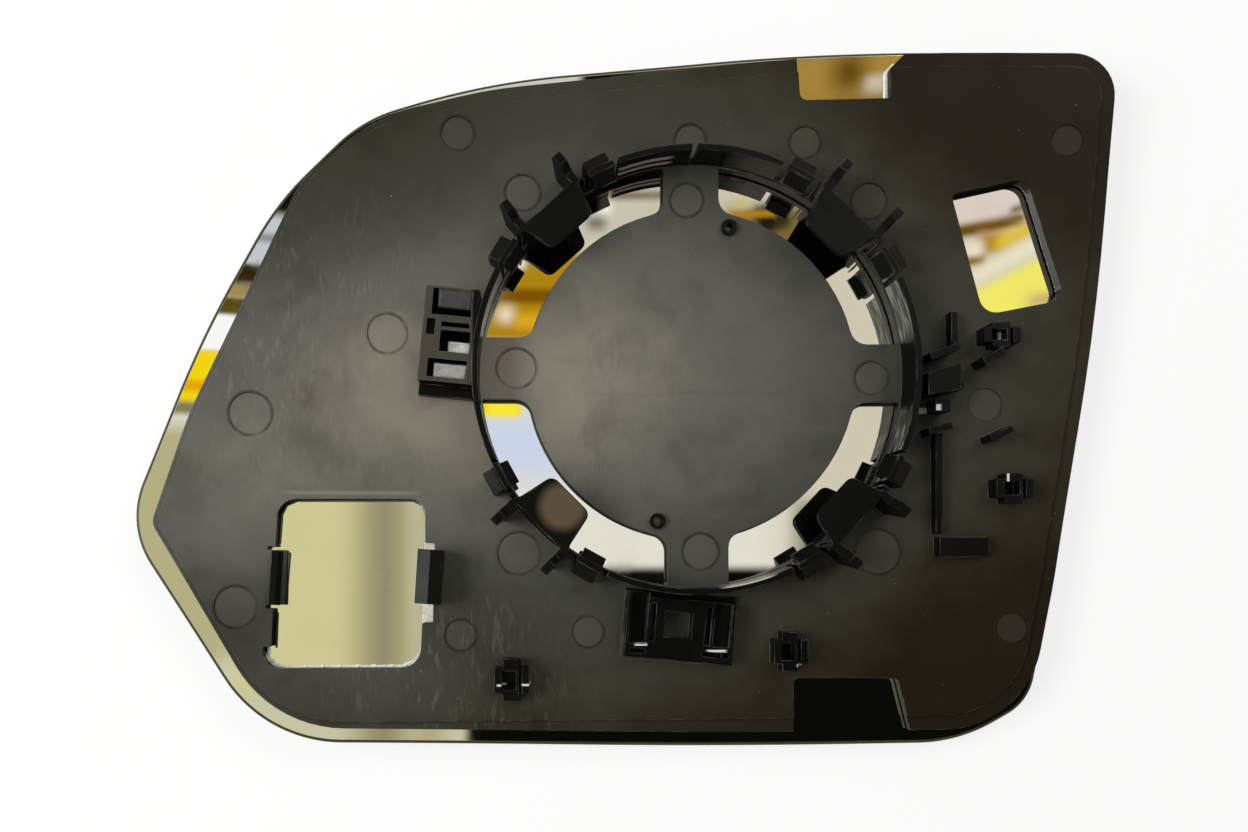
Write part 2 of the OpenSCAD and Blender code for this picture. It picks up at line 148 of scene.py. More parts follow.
# Painted bands of reflected light on the inside of the ring wall as rise, half width where full and where gone,
# and their middle x.
WALL_LIGHT_BANDS, LIGHT_BANDS_X = ((1.9, 0.4, 0.8), (4.3, 0.5, 0.9)), -11.0
# Middle x of the brighter painted highlight on the ring's upper edge at the bottom.
BRIGHT_EDGE_X = 10.0

# Arc openings round the seat as x of the upright spoke side, y of the level spoke side. Then the shift and
# radius of the seat, the radius of the fillets, and how far out the black line of painted shade runs.
ARC_WINDOWS = ((5.5, 6.4), (-5.5, 7.8), (-4.7, -4.6), (7.5, -5.2))
SEAT_SHIFT, SEAT_RADIUS, SPOKE_FILLET, LINE_REACH = (0.2, 0.45), 32.8, 3.4, 41.45
# Parts of the plug window's outline that carry the black line of painted shade, at its left and its top, as x,
# y in mm.
PLUG_LINES = (
    ((-82.4, -54.0), (-82.2, -47.0)),
    ((-81.9, -33.4), (-81.5, -27.6), (-80.6, -25.7), (-78.6, -24.8), (-55.6, -24.7), (-53.7, -25.6),
     (-53.1, -27.4)),
)

# sRGB colours of what shows on the plastic, painted sheen, highlights, reflections and shade among them, and
# of the plain room.
TINTS = {
    "reddish stain": (100, 84, 80), "greenish stain": (96, 104, 90), "flow mark": (150, 146, 134),
    "knit line": (40, 38, 33), "window lip highlight": (150, 144, 134), "mark face": (150, 148, 136),
    "mark line": (26, 25, 21), "dust": (150, 148, 138), "brown_reflection": (86, 73, 57), "socket top sheen": (70, 67, 60),
    "wall light streak": (118, 120, 114), "wall light band": (176, 162, 156), "glint": (208, 207, 198),
    "edge highlight": (176, 175, 166), "scratch": (70, 70, 66), "unlit block": (30, 30, 27),
    "dim room": (206, 198, 176), "bright room": (226, 222, 208),
}

# What the mirror sees of the room: middle, half size and soft edge as slopes away from straight up, in
# thousandths; sRGB colour; and for a slanting thing its turn in degrees.
ROOM = (
    ("pale wall", (0, 100), (260, 75), 12, (232, 229, 214)),
    ("olive wall", (-235, 70), (95, 76), 10, (185, 180, 136)),
    ("cold window light", (42, 137), (40, 22), 20, (208, 218, 240)),
    ("cream curtain", (-90, 30), (58, 130), 12, (212, 206, 152)),
    ("low wall", (-80, -115), (240, 90), 6, (205, 202, 170)),
    ("curtain fold", (-52, 30), (16, 140), 18, (150, 143, 110)),
    ("curtain edge", (-22, 30), (10, 140), 10, (182, 175, 136)),
    ("right wall", (310, 160), (100, 120), 20, (214, 206, 184)),
    ("grey post", (235, 70), (18, 30), 8, (150, 148, 130)),
    ("dark doorway", (502, -444), (500, 500), 4, (10, 10, 6)),
    ("yellow shelf", (-80, 175), (118, 18.5), 3, (250, 218, 18)),
    ("shelf edge", (-165, 170.5), (30, 3.5), 3, (236, 168, 8)),
    ("shelf light", (26, 161), (10, 4), 3, (255, 240, 60)),
    ("shelf foot", (-190, 156.5), (30, 4), 3, (132, 126, 92)),
    ("lamp", (-150, 205), (34, 11.2), 1.5, (255, 255, 255)),
    ("olive box", (-140, 221.5), (36, 5.5), 2, (92, 76, 18)),
    ("tan box", (-140, 231), (36, 4.2), 2, (164, 142, 82)),
    ("brown box", (-140, 241.5), (40, 6.5), 2, (50, 34, 8)),
    ("pale screen", (-130, 263.2), (55, 14.5), 2, (200, 206, 212)),
    ("screen seam", (-130, 264), (55, 2.2), 3, (132, 134, 138)),
    ("dark gable", (-270, 378), (256, 100), 4, (15, 14, 9)),
    ("dark ceiling", (240, 345), (270, 28), 8, (18, 16, 10)),
    ("top light", (160, 388), (240, 16), 3, (222, 222, 214)),
    ("left top light", (15, 364), (60, 19), 4, (206, 206, 198)),
    ("gold boxes", (43, 234), (34, 29), 5, (178, 136, 16)),
    ("brown board", (52, 234.5), (30, 4.5), 3, (128, 84, 8)),
    ("white box", (27.5, 222.5), (5.5, 5), 6, (240, 226, 196)),
    ("gold lid", (46, 218.5), (12, 5), 5, (226, 172, 34)),
    ("white spot", (36.5, 255.5), (4, 3.5), 3, (250, 248, 240)),
    ("cream blind", (114, 287), (40, 20), 6, (206, 200, 180)),
    ("bright slat", (91, 291), (5, 6), 5, (250, 248, 240)),
    ("grey slat", (86.5, 280), (6, 4), 5, (120, 116, 104)),
    ("dim slat", (118, 296.5), (30, 2.5), 3, (128, 112, 92)),
    ("gold bay", (200, 274), (30, 14), 6, (128, 106, 54)),
    ("dark bay", (199, 281), (10, 9), 4, (34, 29, 18), 20),
    ("bay light", (178, 290), (7, 3.5), 4, (206, 192, 140)),
    ("gold strip", (186, 283.5), (16, 2.2), 2, (176, 130, 28)),
    ("blind", (335, 286), (30, 16.5), 6, (226, 210, 200)),
    ("brown beam", (325, 266.5), (22, 3.8), 3, (112, 80, 12), 6),
    ("brown smear", (348, 277), (10, 2.2), 3, (128, 106, 70), 18),
    ("gold crate", (330, 257), (8, 6), 5, (178, 124, 8)),
    ("gold crate top", (345, 260.5), (14, 5), 5, (226, 196, 64), 24),
    ("white crate", (319.5, 253.5), (6, 5), 4, (238, 228, 206)),
    ("brown foot", (321.5, 246.5), (6, 3), 3, (140, 104, 28)),
    ("cream board", (340, 246.5), (24, 5), 5, (238, 230, 200), 26),
    ("yellow board", (347, 221.5), (40, 17.5), 5, (250, 240, 108), 26),
    ("tan corner", (360, 220.5), (9, 4), 5, (206, 180, 120)),
    ("tan rack", (235, 358), (38, 14), 6, (170, 136, 62)),
    ("brown rack", (240, 361), (10, 10), 10, (104, 76, 16)),
    ("white rack", (258, 353.5), (8, 4), 5, (216, 206, 188)),
)

# Lamps as name, place, width in metres and the property that holds their power.
LAMPS = (
    ("key", (-0.95, 0.02, 0.72), 0.7, "key_power"),
    ("fill", (0.7, 0.75, 0.9), 0.9, "fill_power"),
)
# Width of the picture, focal length and shift in pixels; width of the sensor and place of the camera in mm.
PICTURE_WIDTH, FOCAL_PIXELS, SHIFT_PIXELS = 1248, 1000, (84, 144)
SENSOR_WIDTH, CAMERA_PLACE = 36.0, (-30.1, -36.6)
# Half the floor's side, and its distance below the lowest point, in metres.
FLOOR_HALF, FLOOR_GAP = 1.6, 0.00002


def tone(red, green, blue):
    """Linear colour of an sRGB value from 0 to 255."""
    shares = (red / 255, green / 255, blue / 255)
    return tuple(c / 12.92 if c <= 0.04045 else ((c + 0.055) / 1.055) ** 2.4 for c in shares)


def tint(name):
    """Linear colour of a named tint."""
    return tone(*TINTS[name])


class DoorMirrorSizes(bpy.types.PropertyGroup):
    """Lengths that shape the glass and the small moulded details."""

    dome_radius: FloatProperty(
        name="Dome radius", description="Radius of the rear face of the plate", default=1.19538, unit="LENGTH")
    glass_rear: FloatProperty(
        name="Glass rear depth", description="Depth of the rear face of the glass below the plate's rear face",
        default=0.00262, unit="LENGTH")
    glass_front: FloatProperty(
        name="Glass front depth", description="Depth of the reflecting face below the plate's rear face",
        default=0.00462, unit="LENGTH")
    edge_round: FloatProperty(
        name="Edge rounding", description="Radius of the ground edge of the glass", default=0.0007, unit="LENGTH")
    # Width of the painted shade line round an ejector mark.
    mark_line: FloatProperty(
        name="Mark line width", description="Width of the dark line round an ejector mark", default=0.00055,
        unit="LENGTH")
    rim_width: FloatProperty(
        name="Mark rim width", description="Width of the burr round an ejector mark", default=0.0004,
        unit="LENGTH")
    rim_height: FloatProperty(
        name="Mark rim height", description="Height of the burr round an ejector mark", default=0.00005,
        unit="LENGTH")
    lip_radius: FloatProperty(
        name="Flap lip radius", description="Radius of the rounded lip of a clip flap", default=0.0003,
        unit="LENGTH")
    # The black line at the foot of the window walls is painted shade.
    line_radius: FloatProperty(
        name="Window line radius", description="Radius of the black line at the foot of the window walls",
        default=0.0002, unit="LENGTH")
    bead_radius: FloatProperty(
        name="Bead radius", description="Mean radius of the adhesive squeezed out at the window", default=0.00028,
        unit="LENGTH")


class DoorMirrorFinish(bpy.types.PropertyGroup):
    """Colours and surface values of the materials."""

    raised_colour: FloatVectorProperty(
        name="Clip colour", description="Colour of the clips, hooks and sockets", subtype="COLOR", size=3, min=0,
        max=1, default=tone(8, 8, 7))
    # Colour of the worn edges, which also carry painted highlights.
    wear_and_highlight_colour: FloatVectorProperty(
        name="Wear colour", description="Colour of the rubbed edges of the moulding", subtype="COLOR", size=3,
        min=0, max=1, default=tone(122, 120, 110))
    # Colour of the painted pale reflection on the blocks in the left socket.
    pale_reflection_colour: FloatVectorProperty(
        name="Rubbed colour", description="Colour of the rubbed blocks in the left socket", subtype="COLOR",
        size=3, min=0, max=1, default=tone(196, 196, 190))
    plate_roughness: FloatProperty(
        name="Plate roughness", description="Roughness of the moulded plate", default=0.42, min=0, max=1)
    texture_depth: FloatProperty(
        name="Texture depth", description="Depth of the fine mould texture", default=0.000012, unit="LENGTH")
    edge_blend: FloatProperty(
        name="Edge softness", description="Radius to which moulded edges look rounded", default=0.00025,
        unit="LENGTH")
    silver_colour: FloatVectorProperty(
        name="Silver colour", description="Colour of the reflecting coat", subtype="COLOR", size=3, min=0, max=1,
        default=(0.93, 0.935, 0.92))
    edge_colour: FloatVectorProperty(
        name="Ground edge colour", description="Colour of the ground edge of the glass", subtype="COLOR", size=3,
        min=0, max=1, default=tone(58, 60, 38))
    film_colour: FloatVectorProperty(
        name="Film colour", description="Colour of the bonding film and adhesive", subtype="COLOR", size=3, min=0,
        max=1, default=tone(232, 230, 214))


class DoorMirrorStudio(bpy.types.PropertyGroup):
    """Camera, lamps, floor and room."""

    camera_height: FloatProperty(
        name="Camera height", description="Height of the camera above the plate", default=0.2, unit="LENGTH")
    key_power: FloatProperty(
        name="Key power", description="Power of the soft key lamp", default=13.0, unit="POWER")
    fill_power: FloatProperty(
        name="Fill power", description="Power of the soft fill lamp", default=6.0, unit="POWER")
    room_strength: FloatProperty(
        name="Room strength", description="Brightness of the room that the mirror shows", default=1.0, min=0)
    ambient: FloatProperty(
        name="Ambient light", description="Strength of the even light from all round", default=0.45, min=0)


def sizes():
    return bpy.context.scene.door_mirror_sizes


def finish():
    return bpy.context.scene.door_mirror_finish


def studio():
    return bpy.context.scene.door_mirror_studio


def dome_height(x, y, depth=0.0):
    """Height of the domed face depth below the rear face: the sphere's centre stands above the ring, so
    z = radius - sqrt((radius + depth)^2 - x^2 - y^2)."""
    radius = sizes().dome_radius
    return radius - np.sqrt((radius + depth) ** 2 - x * x - y * y)


def spread_along(path, count, closed=False):
    """Evenly spaced points on a path in the plane, and the length run up to each: points are placed at
    equal steps of the length along the path."""
    if closed:
        path = np.vstack([path, path[:1]])
    run = np.concatenate([[0], np.cumsum(np.linalg.norm(np.diff(path, axis=0), axis=1))])
    where = np.linspace(0, run[-1], count, endpoint=not closed)
    return np.stack([np.interp(where, run, path[:, k]) for k in (0, 1)], 1), where


def unit(vector):
    """Vector of length 1 in the same direction."""
    return vector / np.linalg.norm(vector)


def rounded_outline(corners, count):
    """Closed outline with rounded corners, evenly spaced. Each corner becomes the arc that touches both
    of its sides; the points are then spread at equal arc length along sides and arcs."""
    c = np.array(corners, float)
    points = []
    for before, here, after in zip(np.roll(c, 1, axis=0), c, np.roll(c, -1, axis=0)):
        u, w = unit(before[:2] - here[:2]), unit(after[:2] - here[:2])
        half = math.acos(float(u @ w)) / 2
        middle = here[:2] + unit(u + w) * here[2] / math.sin(half)
        start = here[:2] + u * here[2] / math.tan(half) - middle
        side = -1.0 if u[0] * w[1] - u[1] * w[0] > 0 else 1.0
        angle = math.atan2(start[1], start[0]) + side * (math.pi - 2 * half) * np.linspace(0, 1, 49)
        points.append(middle + here[2] * np.stack([np.cos(angle), np.sin(angle)], 1))
    return spread_along(np.concatenate(points), count, True)[0]


def outward(path):
    """Unit normals of a closed clockwise path in the plane: the direction of travel turned left by 90
    degrees."""
    along = np.roll(path, -1, axis=0) - np.roll(path, 1, axis=0)
    along /= np.linalg.norm(along, axis=1, keepdims=True)
    return np.stack([-along[:, 1], along[:, 0]], 1)


def grid_faces(rows, columns, wrap_rows, wrap_columns):
    """Quads of a rows by columns grid of points, joined across its ends where asked."""
    i = np.arange(rows if wrap_rows else rows - 1)
    j = np.arange(columns if wrap_columns else columns - 1)
    i, j = (a.ravel() for a in np.meshgrid(i, j, indexing="ij"))
    i2, j2 = (i + 1) % rows, (j + 1) % columns
    return np.stack([i * columns + j, i2 * columns + j, i2 * columns + j2, i * columns + j2], 1)


def make_piece(name, points, faces, materials, indices=None):
    """Mesh object at the origin from arrays of points and faces, riding on the body."""
    mesh = bpy.data.meshes.new(name)
    mesh.from_pydata(points.tolist(), [], [f.tolist() if hasattr(f, "tolist") else f for f in faces])
    for material in materials:
        mesh.materials.append(material)
    if indices is not None:
        mesh.polygons.foreach_set("material_index", indices)
    mesh.polygons.foreach_set("use_smooth", np.full(len(mesh.polygons), True))
    mesh.update()
    piece = bpy.data.objects.new(name, mesh)
    bpy.context.scene.collection.objects.link(piece)
    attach(piece, BODY)
    return piece


def face_outwards(piece):
    """Turns every face of a closed mesh outwards."""
    work = bmesh.new()
    work.from_mesh(piece.data)
    bmesh.ops.recalc_face_normals(work, faces=work.faces)
    work.to_mesh(piece.data)
    work.free()


def tube_along(path, radius, sides, closed):
    """Points and faces of a round bead: at each point of the path a circle in the plane across it, whose
    radius may change along the way. An open bead is closed by its last circles."""
    along = np.roll(path, -1, axis=0) - np.roll(path, 1, axis=0) if closed else np.gradient(path, axis=0)
    along /= np.linalg.norm(along, axis=1, keepdims=True)
    side = np.cross(along, (0.0, 0.0, 1.0))
    side /= np.linalg.norm(side, axis=1, keepdims=True)
    top = np.cross(side, along)
    angle = np.arange(sides) * 2 * math.pi / sides
    ring = np.cos(angle)[None, :, None] * side[:, None, :] + np.sin(angle)[None, :, None] * top[:, None, :]
    points = path[:, None, :] + np.reshape(radius, (-1, 1, 1)) * ring
    faces = grid_faces(len(path), sides, closed, True).tolist()
    if not closed:
        last = (len(path) - 1) * sides
        faces.append(list(range(sides)))
        faces.append(list(range(last + sides - 1, last - 1, -1)))
    return points.reshape(-1, 3), faces


def joined(parts):
    """Several point and face lists as one."""
    points, faces, base = [], [], 0
    for p, f in parts:
        points.append(p)
        faces += [[base + k for k in face] for face in f]
        base += len(p)
    return np.concatenate(points), faces


def moulded_piece(name, parts):
    """Piece of the plate's own plastic, made of several point and face lists."""
    points, faces = joined(parts)
    return make_piece(name, points, faces, [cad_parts["carrier_plate"].data.materials[0]])


class Nodes:
    """Adds shader nodes to one tree. Its methods take numbers and outputs of nodes, and return an output."""

    def __init__(self, tree):
        self.tree = tree
        tree.nodes.clear()

    def node(self, kind):
        return self.tree.nodes.new("ShaderNode" + kind)

    def wire(self, kind, inputs=None, out=0, **settings):
        """Adds a node, sets its options and fills its inputs with values or links."""
        node = self.node(kind)
        for key, value in settings.items():
            setattr(node, key, value)
        for key, value in (inputs or {}).items():
            socket = node.inputs[key]
            if isinstance(value, bpy.types.NodeSocket):
                self.tree.links.new(value, socket)
            elif isinstance(value, (tuple, list)) and socket.type == "RGBA" and len(value) == 3:
                socket.default_value = (*value, 1.0)
            else:
                socket.default_value = value
        return node.outputs[out]

    def calculate(self, operation, a, b=0.0, clamp=False):
        return self.wire("Math", {0: a, 1: b}, operation=operation, use_clamp=clamp)

    def chain(self, operation, *values):
        """Values joined one after another by one operation."""
        whole, *others = values
        for other in others:
            whole = self.calculate(operation, whole, other)
        return whole

    times = partialmethod(chain, "MULTIPLY")
    plus = partialmethod(chain, "ADD")
    greatest = partialmethod(chain, "MAXIMUM")
    least = partialmethod(chain, "MINIMUM")
    minus = partialmethod(calculate, "SUBTRACT")
    over = partialmethod(calculate, "DIVIDE")
    magnitude = partialmethod(calculate, "ABSOLUTE")

    def off_by(self, value, place):
        """How far a value is from a place, without sign."""
        return self.magnitude(self.minus(value, place))

    def vector(self, operation, a, b=(0.0, 0.0, 0.0), out=0):
        return self.wire("VectorMath", {0: a, 1: b}, out, operation=operation)

    def distance(self, where, place):
        return self.vector("DISTANCE", where, place, 1)

    def share_of_reach(self, flat, middle, reach):
        """Distance from a middle in the plane, as a share of the reach along X and along Y."""
        off = self.vector("SUBTRACT", flat, (*middle, 0.0))
        return self.vector("LENGTH", self.vector("MULTIPLY", off, (1 / reach[0], 1 / reach[1], 0.0)), out=1)

    def split_up(self, vector):
        """The three parts of a vector."""
        node = self.node("SeparateXYZ")
        self.tree.links.new(vector, node.inputs[0])
        return node.outputs

    def place_in_mm(self):
        """Object coordinates in millimetres."""
        return self.wire("VectorMath", {0: self.wire("TexCoord", out=3), 3: 1 / MM}, operation="SCALE")

    def stretched(self, where, scale, turn=0.0):
        """Place for a pattern that is stretched along the axes and turned round Z, in degrees."""
        return self.wire("Mapping", {"Vector": where, "Rotation": (0, 0, math.radians(turn)), "Scale": scale})

    def noise(self, where, scale, detail=2.0, roughness=0.5, distortion=0.0):
        return self.wire("TexNoise", {"Vector": where, "Scale": scale, "Detail": detail, "Roughness": roughness,
                                      "Distortion": distortion})

    def ramp(self, value, low, high, to_low=0.0, to_high=1.0):
        """value from low..high to to_low..to_high, with a soft start and end."""
        return self.wire("MapRange", {0: value, 1: low, 2: high, 3: to_low, 4: to_high},
                         interpolation_type="SMOOTHSTEP")

    def mix(self, factor, a, b, blend="MIX"):
        return self.wire("Mix", {0: factor, 6: a, 7: b}, 2, data_type="RGBA", blend_type=blend)

    def colour_steps(self, value, steps):
        """Colour that follows a list of steps: share from 0 to 1, sRGB colour."""
        node = self.node("ValToRGB")
        self.tree.links.new(value, node.inputs[0])
        points = node.color_ramp.elements
        while len(points) < len(steps):
            points.new(0.5)
        for point, (share, colour) in zip(points, steps):
            point.position = share
            point.color = (*tone(*colour), 1.0)
        return node.outputs[0]

    def bump(self, strength, depth, height):
        return self.wire("Bump", {"Strength": strength, "Distance": depth, "Height": height})

    def put_out(self, shader, kind="OutputMaterial"):
        self.tree.links.new(shader, self.node(kind).inputs[0])

    def surface(self, inputs):
        self.put_out(self.wire("BsdfPrincipled", inputs))


class MouldingPoint(Nodes):
    """What the plastic knows of a point: its place in mm, its distance from the ring's middle, its rise above
    the dome, how level its face is, whether it stands up, broad patches where the melt cooled at another rate,
    and small uneven ones. The rise is z - (x^2 + y^2) / (2 radius)."""

    def __init__(self, tree):
        super().__init__(tree)
        self.where = self.place_in_mm()
        self.x, self.y, z = self.split_up(self.where)
        self.flat = self.wire("CombineXYZ", {0: self.x, 1: self.y})
        self.radius = self.vector("LENGTH", self.flat, out=1)
        spread = self.plus(self.times(self.x, self.x), self.times(self.y, self.y))
        dip = self.over(spread, 2 * sizes().dome_radius / MM)
        self.rise = self.minus(z, dip)
        self.facing = self.wire("NewGeometry", out=1)
        self.level = self.split_up(self.facing)[2]
        self.upright = self.ramp(self.level, 0.35, 0.75, 1.0, 0.0)
        self.raised = self.greatest(self.ramp(self.rise, 0.25, 0.6), self.upright)
        self.ring_sides = self.ramp(self.magnitude(self.x), 20, 36, 0.25, 1.0)
        self.patches = self.noise(self.where, 0.032, 3.0, 0.55, 1.2)
        self.cloud = self.noise(self.where, 0.13, 4.0, 0.6, 0.9)


def new_material(name, kind=Nodes):
    material = bpy.data.materials.new(name)
    material.use_nodes = True
    return material, kind(material.node_tree)


def mark_distances(p):
    """Distance in mm to the nearest ejector mark's circle: without sign, and negative inside a mark."""
    offs = [p.minus(p.distance(p.flat, (x, y, 0.0)), radius) for x, y, radius in EJECTOR_MARKS]
    return p.least(*(p.magnitude(off) for off in offs)), p.least(*offs)


def plate_grey_and_sheen(p):
    """Grey of the plate: its dark plastic under a painted sheen, by the distance from the sheen's brightest place
    as a share of the reach. Patches bend it, and some places are shifted lighter or into painted shade. Faint
    reddish and greenish stains lie over it."""
    away = p.share_of_reach(p.flat, SHEEN_MIDDLE, SHEEN_REACH)
    for uneven, strength in ((p.patches, 0.22), (p.cloud, 0.10)):
        away = p.plus(away, p.times(p.minus(uneven, 0.5), strength))
    for middle, reach, shift in SHADE_PATCHES:
        off = p.share_of_reach(p.flat, middle, reach)
        away = p.plus(away, p.ramp(off, 0.2, 1.0, shift, 0.0))
    grey = p.colour_steps(p.greatest(away, 0.0), SHEEN_STEPS)
    stain = p.noise(p.wire("Mapping", {"Vector": p.where, "Location": (40, 7, 0)}), 0.07, 3.0, 0.5, 0.4)
    grey = p.mix(p.ramp(stain, 0.52, 0.74, 0.0, 0.28), grey, tint("reddish stain"), "OVERLAY")
    return p.mix(p.ramp(stain, 0.26, 0.46, 0.22, 0.0), grey, tint("greenish stain"), "OVERLAY")


def flow_marks(p):
    """Short uneven streaks that fade out round the middle of each group."""
    clouded = p.ramp(p.cloud, 0.42, 0.58, 0.1, 1.0)
    groups = []
    for middle, reach, turn, strength in FLOW_MARKS:
        streaks = p.noise(p.stretched(p.where, (1.0, 0.24, 1.0), turn), 0.55, 4.0, 0.62, 1.6)
        near = p.ramp(p.distance(p.flat, (*middle, 0.0)), 0.2 * reach, reach, strength, 0.0)
        groups.append(p.times(p.ramp(streaks, 0.50, 0.66), near, clouded))
    return p.greatest(*groups)


def knit_line(p):
    """Wavy line across the seat, where two flows of the melt met."""
    wave = p.minus(p.noise(p.where, 0.12, 2.0), 0.5)
    line = p.plus(p.times(wave, KNIT_WAVE), KNIT_Y)
    return p.times(p.ramp(p.off_by(p.y, line), 0.08, 0.5, 1.0, 0.0), p.ramp(p.x, *KNIT_START),
                   p.ramp(p.x, *KNIT_END, 1.0, 0.0))


def plate_marks(p, streaks, knit):
    """What shows on the plate's grey, as share and tint: flow marks, knit line, a painted highlight on the lip
    above the plug window, the faces of the ejector marks and the painted shade lines round them, which fade to the
    right, and dust."""
    # painted highlight along the lip above the plug window
    lip = p.times(p.ramp(p.off_by(p.y, LIP_MIDDLE[1]), 0.15, 0.6, 0.3, 0.0),
                  p.ramp(p.off_by(p.x, LIP_MIDDLE[0]), 10, 15, 1.0, 0.0))
    line, inside = mark_distances(p)
    half = sizes().mark_line / MM / 2
    # painted shade: a dark line where the edge of each mark's recess lies in shade
    ringed = p.times(p.ramp(line, half * 0.5, half * 1.7, 1.0, 0.0),
                     p.ramp(p.cloud, 0.36, 0.6, 0.18, 0.55), p.ramp(p.x, 28, 52, 1.0, 0.25))
    dust = p.ramp(p.noise(p.where, 1.3, 2.0, 0.5), 0.76, 0.82)
    return (
        (streaks, "flow mark"), (p.times(knit, 0.10), "knit line"), (lip, "window lip highlight"),
        (p.ramp(inside, -0.6, -0.2, 0.04, 0.0), "mark face"), (ringed, "mark line"),
        (p.times(dust, 0.4), "dust"),
    )


def worn_and_highlit_edges(p, soft):
    """Share of wear and painted highlight on the edges: where the rounded normal leaves the flat one, in places.
    """
    straight = p.vector("DOT_PRODUCT", soft, p.facing, 1)
    edge = p.minus(1.0, straight)
    return p.times(p.ramp(edge, 0.02, 0.16), p.ramp(p.upright, 0.2, 0.9, 1.0, 0.12),
                   p.ramp(p.noise(p.where, 0.34, 2.0), 0.46, 0.66, 0.06, 1.0))


def ring_edge_highlights(p):
    """Painted highlights along both upper edges of the ring wall, strongest at its left and right, and a brighter
    painted highlight at the bottom."""
    inner = p.ramp(p.off_by(p.radius, RING_INNER + 0.12), 0.06, 0.2, 1.0, 0.0)
    outer = p.ramp(p.off_by(p.radius, RING_RADIUS - 0.1), 0.04, 0.14, 0.6, 0.0)
    lines = p.times(p.greatest(inner, outer), p.ring_sides,
                    p.ramp(p.rise, RING_HEIGHT - 0.6, RING_HEIGHT - 0.2),
                    p.ramp(p.noise(p.where, 0.16, 2.0), 0.36, 0.6, 0.2, 1.0))
    bright = p.times(p.ramp(p.off_by(p.x, BRIGHT_EDGE_X), 3.5, 6.0, 1.0, 0.0),
                     p.ramp(p.y, -40, -38, 1.0, 0.0), inner)
    return p.greatest(lines, bright)


def ring_wall_light_streaks(p):
    """Painted streaks of reflected light on the inner side of the ring wall, away from the level spokes."""
    streaks = p.noise(p.stretched(p.where, (0.3, 0.3, 2.2)), 0.5, 2.0, 0.6)
    off = p.magnitude(p.y)
    return p.times(p.ramp(p.off_by(p.radius, RING_INNER), 0.05, 0.16, 1.0, 0.0), p.upright,
                   p.ramp(p.rise, 0.0, 1.0), p.ring_sides, p.ramp(streaks, 0.44, 0.62, 0.05, 0.85),
                   p.ramp(off, 6, 8), p.ramp(off, 24, 30, 1.0, 0.15))


def ring_wall_light_bands(p):
    """Painted pale bands of reflected light on the inner side of the ring wall, left of the top."""
    bands = [p.ramp(p.off_by(p.rise, rise), full, gone, 1.0, 0.0) for rise, full, gone in WALL_LIGHT_BANDS]
    return p.times(p.greatest(*bands), p.ramp(p.off_by(p.x, LIGHT_BANDS_X), 5.5, 7.5, 0.8, 0.0),
                   p.ramp(p.y, 34, 36), p.ramp(p.radius, RING_INNER + 0.3, RING_INNER + 0.5, 1.0, 0.0))


def painted_glints(p):
    """Painted highlights: soft-edged boxes on faces that look up."""
    spots = []
    for x, y, half_x, half_y in GLINTS:
        share = p.greatest(p.over(p.off_by(p.x, x), half_x), p.over(p.off_by(p.y, y), half_y))
        spots.append(p.ramp(share, 0.7, 1.2, 1.0, 0.0))
    return p.times(p.greatest(*spots), p.ramp(p.level, 0.8, 0.95))


def moulded_plastic():
    """Black moulded plastic. The plate is satin, made grey by a painted sheen that is lightest left of the
    middle, with faint flow marks, stains and a knit line. What stands up from it and every upright wall is
    smoother and black, with worn edges that carry painted highlights, a painted sheen on the socket top, a
    painted brownish reflection on one flap, painted streaks and bands of light on the ring wall, and painted
    glints."""
    f = finish()
    material, p = new_material("moulded_plastic", MouldingPoint)
    streaks, knit = flow_marks(p), knit_line(p)
    soft = p.wire("Bevel", {"Radius": f.edge_blend}, samples=6)
    looks_up = p.ramp(p.level, 0.9, 0.99)
    # painted sheen on the top of the left socket
    socket = p.times(p.ramp(p.x, *SOCKET_LEFT), p.ramp(p.x, *SOCKET_RIGHT, 1.0, 0.0),
                     p.ramp(p.rise, *SOCKET_TOP), looks_up)
    # painted brownish reflection on the lower left flap
    brown_reflection = p.times(p.ramp(p.distance(p.where, BROWN_REFLECTION_MIDDLE), 3.0, 5.6, 0.95, 0.0), looks_up, p.raised)
    # the plate's dark plastic under a painted sheen
    colour = plate_grey_and_sheen(p)
    for share, name in plate_marks(p, streaks, knit):
        colour = p.mix(share, colour, tint(name))
    colour = p.mix(p.raised, colour, f.raised_colour[:])
    coats = (
        (brown_reflection, "brown_reflection"), (p.times(socket, 0.8), "socket top sheen"), (ring_wall_light_streaks(p), "wall light streak"),
        (ring_wall_light_bands(p), "wall light band"), (p.times(painted_glints(p), 0.85), "glint"),
    )
    for share, name in coats:
        colour = p.mix(share, colour, tint(name))
    # worn edges with painted highlights along them
    colour = p.mix(p.times(worn_and_highlit_edges(p, soft), 0.62), colour, f.wear_and_highlight_colour[:])
    # painted highlights on the ring's upper edges
    colour = p.mix(ring_edge_highlights(p), colour, tint("edge highlight"))
    rough = p.ramp(p.patches, 0.3, 0.7, f.plate_roughness - 0.05, f.plate_roughness + 0.10)
    for share, smoother in ((streaks, 0.4), (p.raised, 0.14)):
        rough = p.minus(rough, p.times(share, smoother))
    height = p.noise(p.where, 4.0, 3.0, 0.7)
    for share, lift in ((streaks, -3.0), (knit, -0.5)):
        height = p.plus(height, p.times(share, lift))
    normal = p.wire("Bump", {"Strength": 0.5, "Distance": f.texture_depth, "Height": height, "Normal": soft})
    p.surface({"Base Color": colour, "Roughness": rough, "Normal": normal, "IOR": 1.45,
               "Specular IOR Level": 0.11})
    return material


